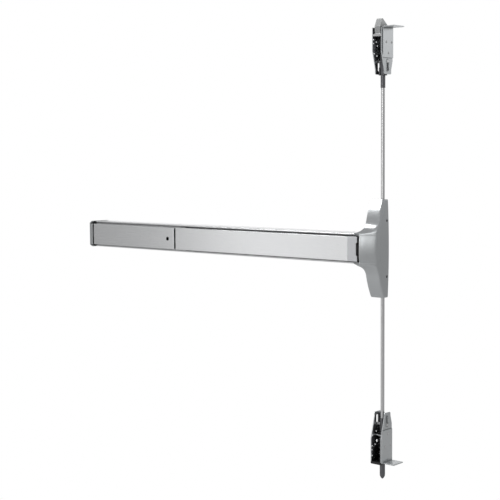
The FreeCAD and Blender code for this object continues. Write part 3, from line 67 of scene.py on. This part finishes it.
def make_camera():
    a, e, r = (math.radians(x) for x in (CAM_AZIMUTH, CAM_ELEVATION, CAM_ROLL))
    back = Vector((math.sin(a) * math.cos(e), -math.cos(a) * math.cos(e), math.sin(e)))
    level = Vector((math.cos(a), math.sin(a), 0.0))
    upright = back.cross(level)
    right = level * math.cos(r) + upright * math.sin(r)
    up = upright * math.cos(r) - level * math.sin(r)
    data = bpy.data.cameras.new("camera")
    data.lens = CAM_LENS
    data.sensor_width = SENSOR_WIDTH
    data.clip_start, data.clip_end = 0.05, 100.0
    cam = bpy.data.objects.new("camera", data)
    SCENE.collection.objects.link(cam)
    cam.matrix_world = Matrix((
        (right.x, up.x, back.x, CAM_PLACE[0]),
        (right.y, up.y, back.y, CAM_PLACE[1]),
        (right.z, up.z, back.z, CAM_PLACE[2]),
        (0.0, 0.0, 0.0, 1.0),
    ))
    SCENE.camera = cam


# ---- materials ------------------------------------------------------------------------
EDGE_RADIUS = 0.0004
# painted shade: reach and ambient-occlusion range over which the colour is darkened in corners, gaps
# and recesses
CORNER_REACH = 0.016
CORNER_SHADE = (0.28, 0.80)
WORN_FROM, WORN_TO = 0.53, 0.62
RELIEF_DEPTH = 0.0002
GRAIN_SCALE, GRAIN_DETAIL = 40.0, 5.0
BLOTCH_SCALE, BLOTCH_DETAIL = 7.0, 2.0


def add(tree, kind, **values):
    node = tree.nodes.new(kind)
    for name, value in values.items():
        setattr(node, name, value)
    return node


def link(tree, source, target):
    tree.links.new(source, target)


def mixed_colour(tree, blend, factor, first, second):
    """Mix node; each input is a socket, a plain colour tuple or a number."""
    node = add(tree, "ShaderNodeMixRGB", blend_type=blend)
    for slot, value in ((0, factor), (1, first), (2, second)):
        if isinstance(value, bpy.types.NodeSocket):
            link(tree, value, node.inputs[slot])
        elif isinstance(value, tuple):
            node.inputs[slot].default_value = (*value, 1.0)
        else:
            node.inputs[slot].default_value = value
    return node.outputs["Color"]


def remap(tree, source, low, high, to_low, to_high):
    node = add(tree, "ShaderNodeMapRange")
    for name, value in (("From Min", low), ("From Max", high), ("To Min", to_low), ("To Max", to_high)):
        node.inputs[name].default_value = value
    link(tree, source, node.inputs["Value"])
    return node.outputs["Result"]


def noise(tree, coord, stretch, scale, detail):
    mapping = add(tree, "ShaderNodeMapping")
    mapping.inputs["Scale"].default_value = stretch
    node = add(tree, "ShaderNodeTexNoise")
    node.inputs["Scale"].default_value = scale
    node.inputs["Detail"].default_value = detail
    link(tree, coord, mapping.inputs["Vector"])
    link(tree, mapping.outputs["Vector"], node.inputs["Vector"])
    return node.outputs["Fac"]


def scaled(colour, k):
    return tuple(min(c * k, 1.0) for c in colour)


def metal(name, colour, rough, grain, bump=0.0, spread=0.03, metallic=1.0, wear=0.3,
          dark=0.25, brushed=0.0, reach=CORNER_REACH):
    """Metal with directional grain, uneven roughness, worn edges and painted shade darkening the colour
    in deep corners.
    """
    mat = bpy.data.materials.new(name)
    mat.use_nodes = True
    tree = mat.node_tree
    tree.nodes.clear()
    out = add(tree, "ShaderNodeOutputMaterial")
    bsdf = add(tree, "ShaderNodeBsdfPrincipled")
    link(tree, bsdf.outputs["BSDF"], out.inputs["Surface"])
    coord = add(tree, "ShaderNodeTexCoord").outputs["Object"]
    fine = noise(tree, coord, grain, GRAIN_SCALE, GRAIN_DETAIL)
    broad = noise(tree, coord, (1.0, 1.0, 1.0), BLOTCH_SCALE, BLOTCH_DETAIL)
    link(tree, remap(tree, fine, 0.3, 0.7, rough - spread, rough + spread), bsdf.inputs["Roughness"])

    bevel = add(tree, "ShaderNodeBevel", samples=4)
    bevel.inputs["Radius"].default_value = EDGE_RADIUS
    relief = add(tree, "ShaderNodeBump")
    relief.inputs["Strength"].default_value = bump
    relief.inputs["Distance"].default_value = RELIEF_DEPTH
    link(tree, fine, relief.inputs["Height"])
    link(tree, bevel.outputs["Normal"], relief.inputs["Normal"])
    link(tree, relief.outputs["Normal"], bsdf.inputs["Normal"])

    grained = remap(tree, fine, 0.3, 0.7, 0.0, 1.0)
    tone = mixed_colour(tree, "MIX", grained, scaled(colour, 0.995), scaled(colour, 1.005))
    blotched = remap(tree, broad, 0.35, 0.65, 0.0, 1.0)
    blotch = mixed_colour(tree, "MIX", blotched, (0.985, 0.985, 0.99), (1.0, 1.0, 1.0))
    tone = mixed_colour(tree, "MULTIPLY", 1.0, tone, blotch)
    pointed = add(tree, "ShaderNodeNewGeometry").outputs["Pointiness"]
    edge = remap(tree, pointed, WORN_FROM, WORN_TO, 0.0, wear)
    tone = mixed_colour(tree, "MIX", edge, tone, scaled(colour, 1.25))
    # painted shade: ambient occlusion multiplies the colour down to `dark` in corners, gaps and
    # interiors
    corner = add(tree, "ShaderNodeAmbientOcclusion", samples=8)
    corner.inputs["Distance"].default_value = reach
    link(tree, bevel.outputs["Normal"], corner.inputs["Normal"])
    shade = remap(tree, corner.outputs["AO"], *CORNER_SHADE, dark, 1.0)
    tone = mixed_colour(tree, "MULTIPLY", 1.0, tone, shade)
    link(tree, tone, bsdf.inputs["Base Color"])
    bsdf.inputs["Metallic"].default_value = metallic
    bsdf.inputs["Anisotropic"].default_value = brushed
    return mat


ALONG = (0.6, 40.0, 40.0)
UPRIGHT = (40.0, 40.0, 0.6)
EVEN = (12.0, 12.0, 12.0)
# dark is the lowest factor of the painted shade in each material's corners and gaps
MATS = {
    "satin_aluminium": metal("satin_aluminium", (0.80, 0.81, 0.82), 0.27, ALONG, 0.01, spread=0.006,
                             dark=0.02, brushed=0.4),
    "silver_casting": metal("silver_casting", (0.64, 0.66, 0.67), 0.24, EVEN, 0.02, spread=0.02,
                            metallic=0.94, dark=0.02),
    "end_piece": metal("end_piece", (0.66, 0.67, 0.69), 0.36, EVEN, 0.04, metallic=0.8, dark=0.05),
    "black_plastic": metal("black_plastic", (0.02, 0.02, 0.022), 0.5, EVEN, 0.1, metallic=0.0,
                           wear=0.1),
    "zinc_plate": metal("zinc_plate", (0.68, 0.70, 0.71), 0.32, EVEN, 0.06, dark=0.02, reach=0.012),
    "bright_steel": metal("bright_steel", (0.74, 0.74, 0.74), 0.30, UPRIGHT, 0.02, dark=0.05),
    "screw_steel": metal("screw_steel", (0.45, 0.45, 0.46), 0.35, EVEN, 0.05),
    "dark_steel": metal("dark_steel", (0.20, 0.20, 0.21), 0.38, EVEN, 0.05, dark=0.02),
    "bolt_steel": metal("bolt_steel", (0.46, 0.47, 0.47), 0.38, EVEN, 0.05, dark=0.05),
    "spring_steel": metal("spring_steel", (0.35, 0.35, 0.36), 0.3, EVEN, 0.02),
}
for row in frame["record"]["subparts"]:
    node = NODES[row["node"]]
    node.data.materials.clear()
    node.data.materials.append(MATS[row["material_slot"]])


# ---- springs --------------------------------------------------------------------------
WIRE_SIDES = 12
TURN_STEPS = 36
DEAD_TURNS = 0.9


def spring(name, node, axis, turns, wire, seat):
    """Helical spring in a CAD spring's place, with closed end turns, attached to the frame."""
    low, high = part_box(node)
    middle = [(a + b) / 2 for a, b in zip(low, high)]
    side, up = [k for k in range(3) if k != axis]
    radius = (high[side] - low[side]) / 2 - wire
    start, end = low[axis] + wire, high[axis] - wire
    pitch = (end - start - 2 * DEAD_TURNS * 2 * wire) / (turns - 2 * DEAD_TURNS)
    steps = int(turns * TURN_STEPS)
    mesh = bmesh.new()
    rings = []
    for i in range(steps + 1):
        turn = turns * i / steps
        opened = min(max(turn - DEAD_TURNS, 0.0), turns - 2 * DEAD_TURNS)
        along = start + (turn - opened) * 2 * wire + opened * pitch
        a = 2 * math.pi * turn
        ring = []
        for k in range(WIRE_SIDES):
            b = 2 * math.pi * k / WIRE_SIDES
            place = [0.0, 0.0, 0.0]
            out = radius + wire * math.cos(b)
            place[axis] = along + wire * math.sin(b)
            place[side] = middle[side] + out * math.cos(a)
            place[up] = middle[up] + out * math.sin(a)
            ring.append(mesh.verts.new(place))
        rings.append(ring)
    for first, second in zip(rings, rings[1:]):
        for k in range(WIRE_SIDES):
            n = (k + 1) % WIRE_SIDES
            mesh.faces.new((first[k], first[n], second[n], second[k]))
    mesh.faces.new(rings[0][::-1])
    mesh.faces.new(rings[-1])
    bmesh.ops.recalc_face_normals(mesh, faces=mesh.faces)
    data = bpy.data.meshes.new(name)
    mesh.to_mesh(data)
    mesh.free()
    for face in data.polygons:
        face.use_smooth = True
    piece = bpy.data.objects.new(name, data)
    SCENE.collection.objects.link(piece)
    data.materials.append(MATS["spring_steel"])
    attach(piece, "frame")
    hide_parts(node)
    anchor, way = list(middle), [0.0, 0.0, 0.0]
    anchor[axis], way[axis] = seat, 1.0
    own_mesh(piece)


# each ends against a seat that stays still; the coil is drawn at its resting length
spring("return_spring_coil", "return_spring", 0, 9, 0.0007, -0.33)
spring("bottom_bolt_spring_coil", "bottom_bolt_spring", 2, 5, 0.0008, -0.398)


# ---- floor, backdrop and light --------------------------------------------------------
ROOM_LIGHT = 0.40
FLOOR_Z = -0.62
BAR_MIDDLE = (-0.35, 0.0, 0.0)
CASE = (0.0, 0.0, 0.0)


def make_floor():
    bpy.ops.mesh.primitive_plane_add(size=40.0, location=(0.0, 4.0, FLOOR_Z))
    floor = bpy.context.object
    floor.name = "floor"
    mat = bpy.data.materials.new("pale_floor")
    mat.use_nodes = True
    tree = mat.node_tree
    bsdf = tree.nodes["Principled BSDF"]
    bsdf.inputs["Base Color"].default_value = (0.8, 0.8, 0.8, 1.0)
    bsdf.inputs["Roughness"].default_value = 0.9
    paper = add(tree, "ShaderNodeEmission")
    mix = add(tree, "ShaderNodeMixShader")
    link(tree, add(tree, "ShaderNodeLightPath").outputs["Is Camera Ray"], mix.inputs["Fac"])
    link(tree, bsdf.outputs["BSDF"], mix.inputs[1])
    link(tree, paper.outputs["Emission"], mix.inputs[2])
    link(tree, mix.outputs["Shader"], tree.nodes["Material Output"].inputs["Surface"])
    floor.data.materials.append(mat)


def area_light(name, azimuth, elevation, distance, size, power, centre=BAR_MIDDLE):
    """Softbox aimed at a point from a compass direction; azimuth 0 is straight in front of the door."""
    a, e = math.radians(azimuth), math.radians(elevation)
    outward = Vector((math.sin(a) * math.cos(e), -math.cos(a) * math.cos(e), math.sin(e)))
    data = bpy.data.lights.new(name, "AREA")
    data.shape = "RECTANGLE"
    data.size, data.size_y = size
    data.energy = power
    lamp = bpy.data.objects.new(name, data)
    SCENE.collection.objects.link(lamp)
    lamp.location = Vector(centre) + outward * distance
    lamp.rotation_mode = "QUATERNION"
    lamp.rotation_quaternion = (-outward).to_track_quat("-Z", "Y")
    lamp.visible_camera = False


def make_world():
    world = bpy.data.worlds.new("studio")
    SCENE.world = world
    world.use_nodes = True
    tree = world.node_tree
    tree.nodes.clear()
    out = add(tree, "ShaderNodeOutputWorld")
    seen = add(tree, "ShaderNodeBackground")
    seen.inputs["Color"].default_value = (1.0, 1.0, 1.0, 1.0)
    seen.inputs["Strength"].default_value = 1.0
    lit = add(tree, "ShaderNodeBackground")
    lit.inputs["Strength"].default_value = ROOM_LIGHT
    coord = add(tree, "ShaderNodeTexCoord").outputs["Generated"]
    split = add(tree, "ShaderNodeSeparateXYZ")
    ramp = add(tree, "ShaderNodeValToRGB")
    ramp.color_ramp.elements[0].position = 0.0
    ramp.color_ramp.elements[0].color = (0.97, 0.98, 0.99, 1.0)
    ramp.color_ramp.elements[1].position = 1.0
    ramp.color_ramp.elements[1].color = (1.0, 1.0, 1.0, 1.0)
    shift = add(tree, "ShaderNodeMapRange")
    shift.inputs["From Min"].default_value = -1.0
    link(tree, coord, split.inputs["Vector"])
    link(tree, split.outputs["Z"], shift.inputs["Value"])
    link(tree, shift.outputs["Result"], ramp.inputs["Fac"])
    link(tree, ramp.outputs["Color"], lit.inputs["Color"])
    path = add(tree, "ShaderNodeLightPath")
    mix = add(tree, "ShaderNodeMixShader")
    link(tree, path.outputs["Is Camera Ray"], mix.inputs["Fac"])
    link(tree, lit.outputs["Background"], mix.inputs[1])
    link(tree, seen.outputs["Background"], mix.inputs[2])
    link(tree, mix.outputs["Shader"], out.inputs["Surface"])


make_camera()
make_floor()
make_world()
area_light("key", -39, -4, 2.0, (0.3, 0.7), 0.60)
area_light("key_right", -30, -4, 2.0, (0.35, 0.7), 0.40)
area_light("front_left", -10, -2, 2.0, (0.6, 0.8), 1.2)
area_light("front", 12, 9, 2.2, (0.8, 0.8), 3.8)
area_light("crown", -55, 40, 2.0, (0.7, 0.3), 6.0, CASE)
area_light("back_left", -139, 5, 2.2, (1.2, 0.8), 2.6)
area_light("back_right", 139, 22, 2.2, (1.2, 0.7), 1.4, CASE)
area_light("low", -38, -38, 2.0, (1.2, 1.2), 1.5, CASE)
SCENE.view_settings.view_transform = "Standard"
